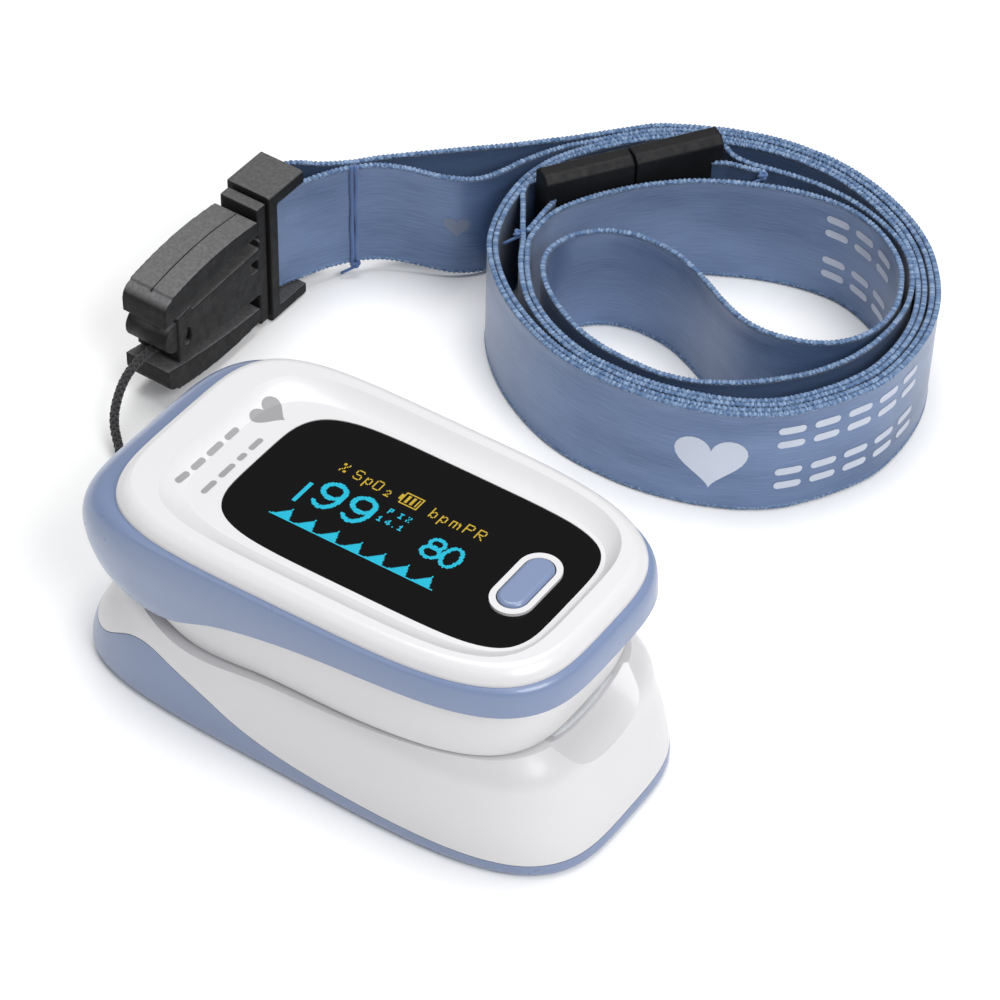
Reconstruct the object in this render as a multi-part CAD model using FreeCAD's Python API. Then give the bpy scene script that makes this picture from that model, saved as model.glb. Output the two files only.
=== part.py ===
import FreeCAD, Part
import math
import os

from FreeCAD import Placement, Rotation, Vector

# Fingertip pulse oximeter with its neck ribbon. Millimetres, +Z up.
# +X points to the finger opening, and the origin is on the base, below the middle of the device.
# Numbers are given from below the middle of the top cover, and keep() moves each piece by CENTRE_X.
# Pieces of the upper half are drawn level, with z = 0 at the seam between top cover and trim
# band, and are then leaned back and lifted to where they rest.

# ---- device ----
CENTRE_X = 1.69                         # puts the origin below the middle of the whole device
SEAM_Z = 26.7                           # height of the seam above the origin
UPPER_TILT = 2.1                        # degrees that the upper half leans back
WALL = 1.4
BAND_WALL = 1.3
FIT = 0.05                              # gap between pieces that are assembled together
GAP = 0.3                               # gap between the two halves
TAPER = 0.0006                          # width lost per millimetre towards the front
REAR_SQUARENESS = 4.6                   # exponents of the outline's two rounded ends
FRONT_SQUARENESS = 3.7
OUTLINE_POINTS = 36

# Outlines at several heights: (z, rear x, front x, half width)
COVER_LEVELS = [(0.0, -30.4, 27.2, 16.85), (0.7, -30.3, 27.1, 16.75), (1.4, -29.9, 26.7, 16.35),
                (2.0, -28.9, 25.7, 15.4)]
DISH_LEVELS = [(0.7, -23.2, 22.8, 12.0), (1.1, -24.3, 23.2, 12.9), (2.2, -25.8, 24.0, 14.6)]
BAND_LEVELS = [(0.0, -30.5, 27.3, 16.95), (-0.5, -32.3, 27.9, 17.4), (-1.5, -33.9, 28.2, 17.65),
               (-3.0, -34.9, 28.3, 17.8), (-5.0, -35.2, 28.3, 17.8), (-7.5, -34.7, 28.0, 17.7),
               (-10.0, -33.4, 27.6, 17.4), (-12.5, -32.0, 27.2, 17.0)]
BAND_HOLLOW_REAR = [-29.1, -29.3, -30.8, -33.0, -33.8, -33.3, -32.0, -30.6]     # at the same heights
SHELL_LEVELS = [(-0.6, -28.9, 26.5, 16.0), (-2.0, -30.9, 26.9, 16.3), (-4.0, -33.1, 26.8, 16.4),
                (-7.0, -33.0, 26.2, 16.25), (-10.0, -31.6, 25.4, 15.9), (-13.0, -30.0, 24.6, 15.6),
                (-16.0, -28.4, 24.1, 15.4)]
LOWER_LEVELS = [(0.0, -35.0, 31.2, 16.8), (0.8, -35.4, 31.7, 17.4), (1.9, -35.3, 31.5, 17.55),
                (4.0, -34.7, 31.0, 17.6), (7.0, -33.2, 30.2, 17.4), (10.0, -31.2, 29.2, 16.9),
                (13.0, -29.2, 28.1, 16.2), (16.0, -27.4, 26.8, 15.4)]

# Side-view edges as (x, z)
BAND_EDGE = [(-38, 14.9), (-28, 14.5), (-24, 14.6), (-20, 15.4), (-16, 17.1), (-12.5, 18.9), (-9, 20.2),
             (-5, 21.3), (3, 22.8), (12, 23.6), (34, 24.6)]
SPLIT_EDGE = [(-38, 13.9), (-26, 13.1), (-22, 12.3), (-17.5, 11.4), (-8, 12.3), (2, 13.0), (14, 14.1),
              (24, 14.9), (36, 15.7)]
UPPER_EDGE = [(-38, 19.4), (-32, 17.9), (-26, 15.7), (-22, 14.0), (-18, 12.0), (-8, 12.6), (2, 13.3), (14, 14.4),
              (24, 15.2), (36, 16.0)]
TRIM_EDGE = [(-38, 5.6), (-33, 5.0), (-30, 5.4), (-27.5, 6.8), (-24.8, 8.4), (-22, 8.9), (-18.5, 8.1),
             (-13.2, 6.4), (-10.3, 5.2), (-5.8, 3.8), (0, 2.9), (7, 2.5), (14, 2.3), (24, 2.0), (36, 1.8)]
TRIM_GROOVE = 0.1                       # shadow line above the blue base cover
TAIL_START, TAIL_RADIUS = -29.0, 8.0    # the base curves up at its rear end
FLOOR = 1.3                             # thickness of the base cover

HINGE = (-18.0, 14.7)                   # x, z of the hinge axis, which runs along Y
PIN_R = 1.0
PIN_HALF = 14.8
PIN_RUNNING = 0.05
KNUCKLE_R = 2.2
LUG_Y = (9.4, 10.8)
SPRING_R, SPRING_WIRE, SPRING_TURNS = 1.75, 0.45, 4

WINDOW = (-18.6, 22.1, 11.0)            # rear, front, half width
WINDOW_Z = (-0.4, 0.65)
BUTTON_X = 17.0
BUTTON_SIZE = (3.5, 8.3)                # along X, along Y
BEZEL_SIZE = (5.1, 10.1)
UPPER_FLOOR = (-6.3, -5.4)
PAD_ROOF_R, PAD_ROOF_Z = 12.0, -7.0     # arch over the finger: its radius and its top
POSTS = [(19.5, 10.8), (-24.0, 11.0)]
OLED = (26.7, 19.3)
OLED_X = -1.6
BOARD_Z = (-4.0, -3.2)

SCOOP_R, SCOOP_Z = 14.5, 13.1           # finger trough: its radius and its lowest height
PAD_T = 0.8
BATTERY_R, BATTERY_LENGTH = 5.25, 44.5  # AAA cell
BATTERY_X, BATTERY_Y, BATTERY_Z = -20.2, 5.5, 6.75
BAY = (-22.3, 24.9, 11.0)               # rear, front, half width
BAY_WALL = 1.2
BAY_ROOF = 12.2
SENSOR_X = 3.0                          # where the light crosses the finger
SCREWS = [(17.0, 13.9), (-12.0, 13.9)]
SCREW_R, SCREW_HEAD_R, SCREW_BOSS_R = 0.75, 1.3, 1.5
DOOR = (22.0, 12.2)                     # front end, half width
DOOR_T = 1.2
DOOR_GAP = 0.15

# ---- buckle, string and neck ribbon ----
STRING_D = 1.2
STRING_ROUTE = [(-33.8, 0.0, 8.9), (-37.0, 0.2, 8.6), (-40.4, 2.2, 6.2), (-43.6, 5.6, 3.0),
                (-46.6, 9.0, 1.4), (-49.8, 11.9, 1.5), (-52.5, 14.0, 3.3), (-53.3, 16.6, 6.2),
                (-53.3, 19.3, 8.0), (-53.3, 21.9, 8.0)]
BUCKLE_X = (-56.6, -50.0)
BUCKLE_MID = (-53.3, 10.0)              # x, z of the buckle's middle line, which runs along Y
PLUG_Y = (21.9, 40.7)
COLLAR_Y = (40.7, 42.4)
FRAME_Y = (42.7, 49.6)
LEVER_END_Y = 40.2
BAR_Y = 47.6

RIBBON_W = 15.8
RIBBON_T = 0.7                          # one layer
LAYER_PITCH = 0.75
STRAP_Z = (1.9, 17.7)                   # bottom and top of the two strands behind the frame
# Plan routes of the ribbon, from the buckle inwards
BACK_STRAND = [(-55.2, 49.9), (-54.7, 52.1), (-53.3, 53.3), (-51.1, 54.6), (-48.3, 57.1), (-45.4, 60.6),
               (-42.4, 64.2), (-39.2, 68.3), (-35.9, 72.4), (-32.5, 76.6), (-29.0, 80.6), (-25.8, 84.4),
               (-22.6, 88.0), (-18.1, 91.1)]
FRONT_STRAND = [(-51.0, 49.9), (-50.0, 52.3), (-48.9, 54.4), (-47.6, 56.3), (-45.3, 58.7), (-42.9, 60.3),
                (-40.5, 61.5), (-38.0, 62.7), (-35.9, 64.2), (-34.2, 66.2), (-33.1, 68.9), (-32.2, 72.0),
                (-31.0, 75.0), (-29.6, 77.6), (-27.6, 80.3), (-25.1, 83.7), (-22.0, 87.3), (-17.7, 90.2)]
OUTER_TURN = [(-17.3, 90.9), (-12.6, 93.1), (-7.9, 94.5), (-3.0, 95.0), (1.4, 94.8), (5.8, 93.8),
              (10.2, 92.1), (14.3, 89.8), (17.8, 87.0), (20.6, 83.7), (22.9, 80.1), (24.6, 76.0),
              (25.5, 71.7), (25.7, 67.3), (25.2, 62.8), (23.6, 58.8), (21.4, 54.9), (18.8, 51.5),
              (15.2, 48.7), (11.0, 46.6), (6.3, 45.1), (2.4, 44.4), (-1.3, 44.2), (-5.4, 44.3),
              (-10.0, 45.2), (-14.6, 47.0), (-19.3, 49.7), (-23.5, 53.2), (-26.5, 56.9), (-28.4, 61.2),
              (-29.5, 65.8)]
INNER_TURN = [(-29.6, 66.2), (-29.8, 70.2), (-29.0, 74.4), (-27.0, 78.8), (-24.2, 83.0), (-21.1, 86.5),
              (-16.9, 89.3), (-12.0, 91.5), (-7.5, 92.8), (-3.0, 93.3), (1.3, 93.1), (5.5, 92.1),
              (9.6, 90.5), (13.4, 88.4), (16.6, 85.8), (19.2, 82.8), (21.4, 79.3), (23.0, 75.5),
              (23.9, 71.5), (24.1, 67.4), (23.6, 63.3), (22.1, 59.4), (20.0, 55.7), (17.6, 52.6),
              (14.2, 50.0), (10.3, 48.1), (5.8, 46.7), (2.0, 46.0), (-1.4, 45.8), (-5.2, 45.9),
              (-9.2, 46.8), (-13.2, 48.5), (-16.7, 50.8), (-19.4, 53.6), (-21.6, 56.6), (-23.3, 59.6)]
END_LOOP = [(-22.9, 60.8), (-23.5, 63.0), (-23.5, 65.3), (-22.9, 67.6), (-21.6, 70.6), (-19.3, 74.3),
            (-16.6, 77.7), (-12.4, 81.6), (-7.9, 84.4), (-3.1, 86.6), (1.6, 87.9), (5.8, 88.2),
            (9.4, 87.4), (12.4, 86.0), (14.9, 84.2), (17.0, 82.0), (18.6, 79.3), (19.8, 76.3),
            (20.3, 73.2), (20.1, 70.5), (19.2, 67.9), (17.6, 65.7), (15.6, 64.1), (13.2, 63.0),
            (10.6, 62.4), (7.8, 62.3), (5.2, 62.9), (2.6, 64.0), (-0.3, 65.5), (-3.4, 67.0),
            (-6.5, 68.1), (-9.8, 68.5), (-13.0, 68.2), (-15.9, 67.0), (-18.0, 65.1), (-19.5, 62.5),
            (-19.9, 59.8), (-19.1, 57.1), (-17.0, 54.4), (-14.0, 52.1), (-10.8, 50.3), (-7.6, 49.1),
            (-4.0, 48.4), (0.0, 48.3), (3.8, 48.6), (7.6, 49.9), (11.4, 52.3), (14.9, 55.5),
            (17.9, 59.2), (20.0, 63.2), (21.1, 67.0), (21.5, 70.6), (21.4, 74.0), (20.8, 77.2),
            (19.5, 80.4), (17.7, 83.2), (15.4, 85.6), (12.6, 87.4), (9.3, 88.8), (5.8, 89.7),
            (1.7, 90.1), (-2.4, 89.8), (-6.2, 89.1), (-9.2, 88.6), (-11.4, 88.9)]
CLASP_TAIL = [(-24.1, 60.9), (-25.2, 63.6), (-26.4, 66.6)]
CLASP_START, CLASP_END = (-26.7, 67.8), (-13.3, 88.0)
CLASP_T, CLASP_H = 3.6, 19.0
CLASP_GAP = 0.25

PARTS = {}


# ---- shape helpers ----
def box(x, y, z):
    """Box from three (low, high) pairs."""
    return Part.makeBox(x[1] - x[0], y[1] - y[0], z[1] - z[0], Vector(x[0], y[0], z[0]))


def cylinder(radius, start, end):
    start, end = Vector(*start), Vector(*end)
    return Part.makeCylinder(radius, (end - start).Length, start, end - start)


def closed_spline(points):
    curve = Part.BSplineCurve()
    curve.interpolate(Points=points, PeriodicFlag=True)
    return curve


def outline(z, rear, front, half, rear_n, front_n):
    """Rounded oblong in plan. Each end is half a superellipse with its own exponent."""
    middle, reach = (rear + front) / 2, (front - rear) / 2
    points = []
    for i in range(OUTLINE_POINTS):
        angle = 2 * math.pi * i / OUTLINE_POINTS
        c, s = math.cos(angle), math.sin(angle)
        n = front_n if c > 0 else rear_n
        scale = (abs(c) ** n + abs(s) ** n) ** (-1 / n)
        x = middle + reach * c * scale
        points.append(Vector(x, half * (1 - TAPER * x) * s * scale, z))
    return Part.Wire(closed_spline(points).toShape())


def loft(levels, inset=0.0, rear_n=REAR_SQUARENESS, front_n=FRONT_SQUARENESS):
    wires = [outline(z, rear + inset, front - inset, half - inset, rear_n, front_n)
             for z, rear, front, half in levels]
    return Part.makeLoft(wires, True)


def between(shape, low, high):
    """The part of a shape between two heights."""
    return shape.common(box((-60, 60), (-60, 60), (low, high)))


def pill(size, z):
    """Upright oblong with round ends at the button, longer along Y."""
    radius, straight = size[0] / 2, (size[1] - size[0]) / 2
    body = box((BUTTON_X - radius, BUTTON_X + radius), (-straight, straight), z)
    for y in (-straight, straight):
        body = body.fuse(cylinder(radius, (BUTTON_X, y, z[0]), (BUTTON_X, y, z[1])))
    return body.removeSplitter()


def region(edge, far_z, shift=0.0):
    """Everything between a smooth side-view edge and the height far_z, right across the width."""
    half = 40
    points = [Vector(x, -half, z + shift) for x, z in edge]
    curve = Part.BSplineCurve()
    curve.interpolate(points)
    corners = [points[-1], Vector(points[-1].x, -half, far_z), Vector(points[0].x, -half, far_z), points[0]]
    sides = [Part.makeLine(a, b) for a, b in zip(corners, corners[1:])]
    return Part.Face(Part.Wire([curve.toShape()] + sides)).extrude(Vector(0, 2 * half, 0))


def below(edge, shift=0.0):
    return region(edge, -20, shift)


def above(edge, shift=0.0):
    return region(edge, 60, shift)


def rested(shape):
    """Lean a level piece of the upper half back and lift it into place."""
    result = shape.copy()
    result.Placement = Placement(Vector(0, 0, SEAM_Z), Rotation(Vector(0, 1, 0), -UPPER_TILT))
    return result


def mirrored(shape):
    return shape.mirror(Vector(), Vector(0, 1, 0))


def pair(shape):
    """A piece and its mirror image across the middle plane, as two solids in one node."""
    return Part.makeCompound([shape, mirrored(shape)])


def at_hinge(radius, y):
    x, z = HINGE
    return cylinder(radius, (x, y[0], z), (x, y[1], z))


def keep(name, shape):
    """Name a finished piece, with the origin moved below the middle of the device."""
    moved = shape.copy()
    moved.translate(Vector(CENTRE_X, 0, 0))
    PARTS[name] = moved


# ---- upper half ----
def top_cover():
    """White cover with a soft raised rim, dished down to the window, and four screw posts below."""
    body = loft(COVER_LEVELS).fuse(loft([(-0.4, -28.6, 25.4, 15.1), (0.1, -28.6, 25.4, 15.1)]))
    for x, y in POSTS:
        for side in (-1, 1):
            body = body.fuse(cylinder(1.6, (x, side * y, UPPER_FLOOR[1] + FIT), (x, side * y, 0.3)))
            body = body.cut(cylinder(0.7, (x, side * y, -6), (x, side * y, -1.2)))
    rear, front, half = WINDOW
    opening = loft([(z, rear - 0.08, front + 0.08, half + 0.08) for z in (-1.5, 3)], front_n=5.0)
    body = body.cut(loft(DISH_LEVELS, front_n=4.4)).cut(opening)
    keep("top_cover", rested(body))


def display_window():
    body = loft([(z,) + WINDOW for z in WINDOW_Z], front_n=5.0)
    hole = [side + 2 * FIT for side in BEZEL_SIZE]
    keep("display_window", rested(body.cut(pill(hole, (-2, 2)))))


def button_and_bezel():
    low, high = WINDOW_Z[0], 1.0
    clearance = 0.12
    opening = [side + 2 * clearance for side in BUTTON_SIZE]
    bezel = pill(BEZEL_SIZE, (low, high)).cut(pill(opening, (-2, 2)))
    keep("button_bezel", rested(bezel))
    cap = pill(BUTTON_SIZE, (-0.9, 1.35))
    cap = cap.makeFillet(0.5, [e for e in cap.Edges if e.BoundBox.ZMin > 1.3])
    flange = pill([side + 0.8 for side in BUTTON_SIZE], (-0.95, -0.5))
    stem = cylinder(0.9, (BUTTON_X, 0, -1.5), (BUTTON_X, 0, -0.8))
    keep("power_button", rested(cap.fuse([flange, stem])))


def band_trim():
    """Blue band round the upper half, wrapping deeper round the rear end."""
    hollow = [(z, hollow_rear, front - BAND_WALL, half - BAND_WALL)
              for (z, _, front, half), hollow_rear in zip(BAND_LEVELS, BAND_HOLLOW_REAR)]
    ring = loft(BAND_LEVELS).cut(loft(hollow))
    keep("band_trim", rested(ring).cut(below(BAND_EDGE)))


def upper_shell():
    """White shell below the band, with a floor between electronics and finger, and hinge bosses."""
    inner = loft(SHELL_LEVELS, inset=WALL)
    body = loft(SHELL_LEVELS).cut(between(inner, UPPER_FLOOR[1], 5)).cut(between(inner, -20, UPPER_FLOOR[0]))
    for x, y in POSTS:
        for side in (-1, 1):
            low, high = UPPER_FLOOR
            body = body.cut(cylinder(0.85, (x, side * y, low - 1), (x, side * y, high + 1)))
            body = body.cut(cylinder(1.5, (x, side * y, low - 1), (x, side * y, low + 0.5)))
    body = body.cut(cylinder(2.8 + FIT, (SENSOR_X, 0, -8), (SENSOR_X, 0, -4)))
    body = rested(body).cut(below(UPPER_EDGE))
    body = body.cut(box((-24.0, -22.2), (-3.2, 3.2), (15, 22)))
    boss = at_hinge(KNUCKLE_R, (13.4, 15.3)).cut(at_hinge(PIN_R + PIN_RUNNING, (13, PIN_HALF + 0.2)))
    bore = at_hinge(PIN_R + PIN_RUNNING, (13, PIN_HALF + 0.2))
    for tool in (bore, mirrored(bore)):
        body = body.cut(tool)
    keep("upper_shell", body.fuse([boss, mirrored(boss)]))


def upper_electronics():
    low, high = BOARD_Z
    board = box((-20, 15), (-12, 12), (low, high)).fuse(box((15, 21.5), (-7.5, 7.5), (low, high)))
    keep("main_board", rested(board.removeSplitter()))
    processor = box((-4, 3), (-3.5, 3.5), (high, high + 0.9))
    regulator = box((7, 10), (4, 7), (high, high + 0.8))
    crystal = box((-9, -7), (-6, -2.8), (high, high + 0.8))
    keep("board_chips", rested(Part.makeCompound([processor, regulator, crystal])))
    half_x, half_y = OLED[0] / 2, OLED[1] / 2
    panel = box((OLED_X - half_x, OLED_X + half_x), (-half_y, half_y), (-2.0, -0.75))
    keep("oled_module", rested(panel))
    switch = box((BUTTON_X - 1.9, BUTTON_X + 1.9), (-2.3, 2.3), (high, -2.2))
    plunger = cylinder(0.8, (BUTTON_X, 0, -2.3), (BUTTON_X, 0, -1.95))
    keep("tactile_switch", rested(switch.fuse(plunger)))


def emitter():
    low, high = UPPER_FLOOR
    board = box((SENSOR_X - 5, SENSOR_X + 5), (-4, 4), (high + 0.05, high + 0.6))
    keep("emitter_board", rested(board))
    leds = [cylinder(0.9, (SENSOR_X + dx, 0, high - 0.5), (SENSOR_X + dx, 0, high + 0.05))
            for dx in (-1.1, 1.1)]
    keep("emitter_leds", rested(Part.makeCompound(leds)))
    lens = cylinder(2.8, (SENSOR_X, 0, low - 0.5), (SENSOR_X, 0, low + 0.35))
    keep("emitter_lens", rested(lens))


def upper_pad():
    """Soft pad over the finger: an arch with a hole for the light."""
    low = UPPER_FLOOR[0]
    block = loft([(z, -12.0, 22.4, 13.2) for z in (-16, low)], rear_n=6)
    middle = PAD_ROOF_Z - PAD_ROOF_R
    block = block.cut(cylinder(PAD_ROOF_R, (-20, 0, middle), (30, 0, middle)))
    block = block.cut(cylinder(2.9, (SENSOR_X, 0, -12), (SENSOR_X, 0, -4)))
    for side in (-1, 1):
        x, y = POSTS[0]
        block = block.cut(cylinder(1.7, (x, side * y, low - 1), (x, side * y, low + 1)))
    keep("upper_finger_pad", rested(block).cut(below(UPPER_EDGE, 1.8)))


def upper_screws():
    low = UPPER_FLOOR[0]
    screws = []
    for x, y in POSTS:
        for side in (-1, 1):
            head = cylinder(1.35, (x, side * y, low), (x, side * y, low + 0.5))
            thread = cylinder(0.7, (x, side * y, low + 0.4), (x, side * y, -1.6))
            screws.append(rested(head.fuse(thread)))
    keep("upper_screws", Part.makeCompound(screws))


def flex_cable():
    """Flat cable from the main board down to the socket beside the hinge."""
    route = [(-20.1, 22.35), (-22.7, 21.9), (-23.2, 19.6), (-23.0, 17.2), (-21.7, 15.5)]
    curve = Part.BSplineCurve()
    curve.interpolate([Vector(x, -2.4, z) for x, z in route])
    back = Part.BSplineCurve()
    back.interpolate([Vector(x + 0.25, -2.4, z - 0.15) for x, z in route])
    a, b = curve.toShape(), back.toShape()
    ends = [Part.makeLine(a.Vertexes[i].Point, b.Vertexes[i].Point) for i in (0, 1)]
    face = Part.Face(Part.Wire(Part.sortEdges([a, ends[0], ends[1], b])[0]))
    keep("flex_cable", face.extrude(Vector(0, 4.8, 0)))


# ---- lower half ----
def tail_cut(thickness=0.0):
    """What the upward curve of the tail takes off the base."""
    radius = TAIL_RADIUS - thickness
    block = box((-50, TAIL_START), (-40, 40), (-5, TAIL_RADIUS))
    return block.cut(cylinder(radius, (TAIL_START, -41, TAIL_RADIUS), (TAIL_START, 41, TAIL_RADIUS)))


def lower_skin():
    """The walls and floor of the lower half in one, before they are split into two mouldings."""
    hollow = between(loft(LOWER_LEVELS, inset=WALL), FLOOR, 30).cut(tail_cut(FLOOR))
    return loft(LOWER_LEVELS).cut(tail_cut()).cut(hollow)


def scoop(radius):
    middle = SCOOP_Z + SCOOP_R
    return cylinder(radius, (-12, 0, middle), (40, 0, middle))


def battery_tunnel():
    """Roof and walls of the battery bay, and the block behind the finger trough's mouth."""
    rear, front, half = BAY
    outer = half + BAY_WALL
    low = FLOOR + 0.1
    roof = box((rear - BAY_WALL, -12), (-outer, outer), (low, 13.0)).cut(tail_cut(low))
    tunnel = box((-12, front + BAY_WALL), (-outer, outer), (low, 13.8))
    mouth = box((front, 28.6), (-10.5, 10.5), (9.9, 14.4))
    body = roof.fuse([tunnel, mouth]).common(loft(LOWER_LEVELS, inset=0.4))
    return body.cut(box((rear, front), (-half, half), (-1, BAY_ROOF)))


def screw_posts(radius, low, high):
    posts = [cylinder(radius, (x, side * y, low), (x, side * y, high))
             for x, y in SCREWS for side in (-1, 1)]
    return Part.makeCompound(posts)


def lower_shell(skin):
    """White moulding: walls, deck, battery bay, finger trough with its flared lip, hinge lugs."""
    walls = skin.common(above(TRIM_EDGE, TRIM_GROOVE)).common(below(SPLIT_EDGE))
    deck = loft(LOWER_LEVELS, inset=0.4).common(above(SPLIT_EDGE, -1.2)).common(below(SPLIT_EDGE))
    body = walls.fuse([deck, battery_tunnel()])
    for post in screw_posts(SCREW_BOSS_R, FLOOR + 0.05, 10.6).Solids:
        body = body.fuse(post)
    body = body.cut(screw_posts(SCREW_R, 0, 7.3))
    rear, front, half = BAY
    body = body.cut(box((rear, front), (-half, half), (-1, BAY_ROOF)))
    middle = SCOOP_Z + SCOOP_R
    flare = Part.makeCone(SCOOP_R, SCOOP_R + 3.0, 5.0, Vector(25.4, 0, middle), Vector(1, 0, 0))
    body = body.cut(scoop(SCOOP_R)).cut(flare)
    x, z = HINGE
    spring_room = at_hinge(2.9, (LUG_Y[1], 14.2))
    boss_room = at_hinge(KNUCKLE_R + GAP, (13.1, 16))
    for tool in (spring_room, boss_room):
        body = body.cut(tool).cut(mirrored(tool))
    lug = at_hinge(KNUCKLE_R, LUG_Y).fuse(box((x - KNUCKLE_R, x + KNUCKLE_R), LUG_Y, (12.5, z)))
    lug = lug.cut(at_hinge(PIN_R, (0, 20)))
    body = body.cut(box((SENSOR_X - 4, SENSOR_X + 4), (-2.2, 2.2), (10, 14)))
    tab = box((-33.8, -29.4), (-2.3, 2.3), (7.5, 10.3))
    tab = tab.cut(cylinder(0.85, (-32.3, -5, 8.9), (-32.3, 5, 8.9)))
    corners = [e for e in tab.Edges if e.BoundBox.XMax < -33.7 and e.BoundBox.YLength > 4]
    keep("lower_shell", body.fuse([lug, mirrored(lug), tab.makeFillet(0.7, corners)]))


def bottom_cover(skin):
    """Blue base cover with wings that rise at the rear."""
    front, half = DOOR
    front, half = front + DOOR_GAP, half + DOOR_GAP
    slab = box((-40, front), (-half, half), (-5, DOOR_T))
    tail = tail_cut(DOOR_T).common(box((-40, TAIL_START), (-half, half), (-5, 20)))
    hatch = box((BAY[0], front), (-BAY[2], BAY[2]), (-1, FLOOR + GAP))
    body = skin.common(below(TRIM_EDGE)).cut(slab.fuse([tail, hatch]))
    body = body.cut(screw_posts(SCREW_R + FIT, -1, 2)).cut(screw_posts(SCREW_HEAD_R + 2 * FIT, -1, 0.8))
    keep("bottom_cover", body)


def battery_door():
    front, half = DOOR
    plate = loft(LOWER_LEVELS).cut(tail_cut()).common(box((-40, front), (-half, half), (-5, 8)))
    upper = box((-40, 40), (-20, 20), (DOOR_T - FIT, 20)).cut(box((-40, TAIL_START), (-20, 20), (-5, 20)))
    arc = cylinder(TAIL_RADIUS - DOOR_T + FIT, (TAIL_START, -21, TAIL_RADIUS), (TAIL_START, 21, TAIL_RADIUS))
    plate = plate.cut(upper).cut(arc)
    grips = [box((x, x + 0.7), (-5, 5), (-0.5, 0.35)) for x in (8.0, 10.0, 12.0, 14.0)]
    keep("battery_door", plate.cut(Part.makeCompound(grips)))


def lower_pad():
    block = box((-11.8, 25.2), (-8, 8), (12, 14.5)).common(scoop(SCOOP_R - 0.02)).cut(scoop(SCOOP_R - PAD_T))
    keep("lower_finger_pad", block.cut(cylinder(2.9, (SENSOR_X, 0, 10), (SENSOR_X, 0, 20))))


def detector():
    board = box((SENSOR_X - 3.9, SENSOR_X + 3.9), (-2, 2), (10.75, 11.2))
    diode = box((SENSOR_X - 2, SENSOR_X + 2), (-1.9, 1.9), (11.2, 12.3))
    lens = cylinder(2.8, (SENSOR_X, 0, 12.35), (SENSOR_X, 0, 13.85))
    lens = lens.common(scoop(SCOOP_R - FIT).fuse(box((-10, 10), (-2.15, 2.15), (12, 13.3))))
    keep("detector_board", board)
    keep("photodiode", diode)
    keep("detector_lens", lens)


def spring_coil(start):
    """Wound wire of a torsion spring: four touching turns round the hinge axis."""
    inner, radius = SPRING_R - SPRING_WIRE / 2, SPRING_WIRE / 2
    x, z = HINGE
    edges = []
    for turn in range(SPRING_TURNS):
        y = start + turn * SPRING_WIRE
        low, high = Vector(x, y, z + SPRING_R), Vector(x, y + SPRING_WIRE, z + SPRING_R)
        edges.append(Part.Arc(low, Vector(x, y + radius, z + SPRING_R + radius), high).toShape())
    corners = [high, Vector(x, high.y, z + inner), Vector(x, start, z + inner), Vector(x, start, z + SPRING_R)]
    edges += [Part.makeLine(a, b) for a, b in zip(corners, corners[1:])]
    return Part.Face(Part.Wire(edges)).revolve(Vector(x, 0, z), Vector(0, 1, 0), 360)


def hinge():
    keep("hinge_pin", at_hinge(PIN_R, (-PIN_HALF, PIN_HALF)))
    x, z = HINGE
    start, radius = 11.2, SPRING_WIRE / 2
    first, last = start + radius, start + SPRING_WIRE * SPRING_TURNS - radius
    lower_leg = cylinder(radius * 0.9, (x, first, z - SPRING_R), (x - 6.0, first, z - 1.0))
    upper_leg = cylinder(radius * 0.9, (x, last, z + SPRING_R), (x - 4.5, last, z + 2.1))
    keep("torsion_springs", pair(spring_coil(start).fuse([lower_leg, upper_leg])))


def battery(name, y, nub_forward):
    start, end = BATTERY_X, BATTERY_X + BATTERY_LENGTH
    nub = 1.0
    can = (start, end - nub) if nub_forward else (start + nub, end)
    body = cylinder(BATTERY_R, (can[0], y, BATTERY_Z), (can[1], y, BATTERY_Z))
    body = body.makeFillet(0.5, [e for e in body.Edges if e.Curve.TypeId == "Part::GeomCircle"])
    keep(name, body.fuse(cylinder(1.9, (start, y, BATTERY_Z), (end, y, BATTERY_Z))))


def battery_contacts():
    front = box((BATTERY_X + BATTERY_LENGTH, BAY[1]), (1.5, 9.5), (2.8, 10.6))
    keep("battery_contacts", pair(front))
    springs = []
    for y in (-BATTERY_Y, BATTERY_Y):
        plate = box((BAY[0], BAY[0] + 0.4), (y - 4, y + 4), (2.8, 10.6))
        rings = [Part.makeTorus(3.0 - 0.4 * i, 0.3, Vector(BAY[0] + 0.6 + 0.3 * i, y, BATTERY_Z), Vector(1, 0, 0))
                 for i in range(4)]
        springs.append(plate.multiFuse(rings))
    keep("battery_springs", Part.makeCompound(springs))


def lower_screws():
    screws = []
    for x, y in SCREWS:
        for side in (-1, 1):
            head = cylinder(SCREW_HEAD_R, (x, side * y, 0.15), (x, side * y, 0.8))
            screws.append(head.fuse(cylinder(SCREW_R, (x, side * y, 0.7), (x, side * y, 7.0))))
    keep("lower_screws", Part.makeCompound(screws))


def flex_socket():
    keep("flex_socket", box((-22.3, -20.6), (-3, 3), (13.0, 14.1)))


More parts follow.
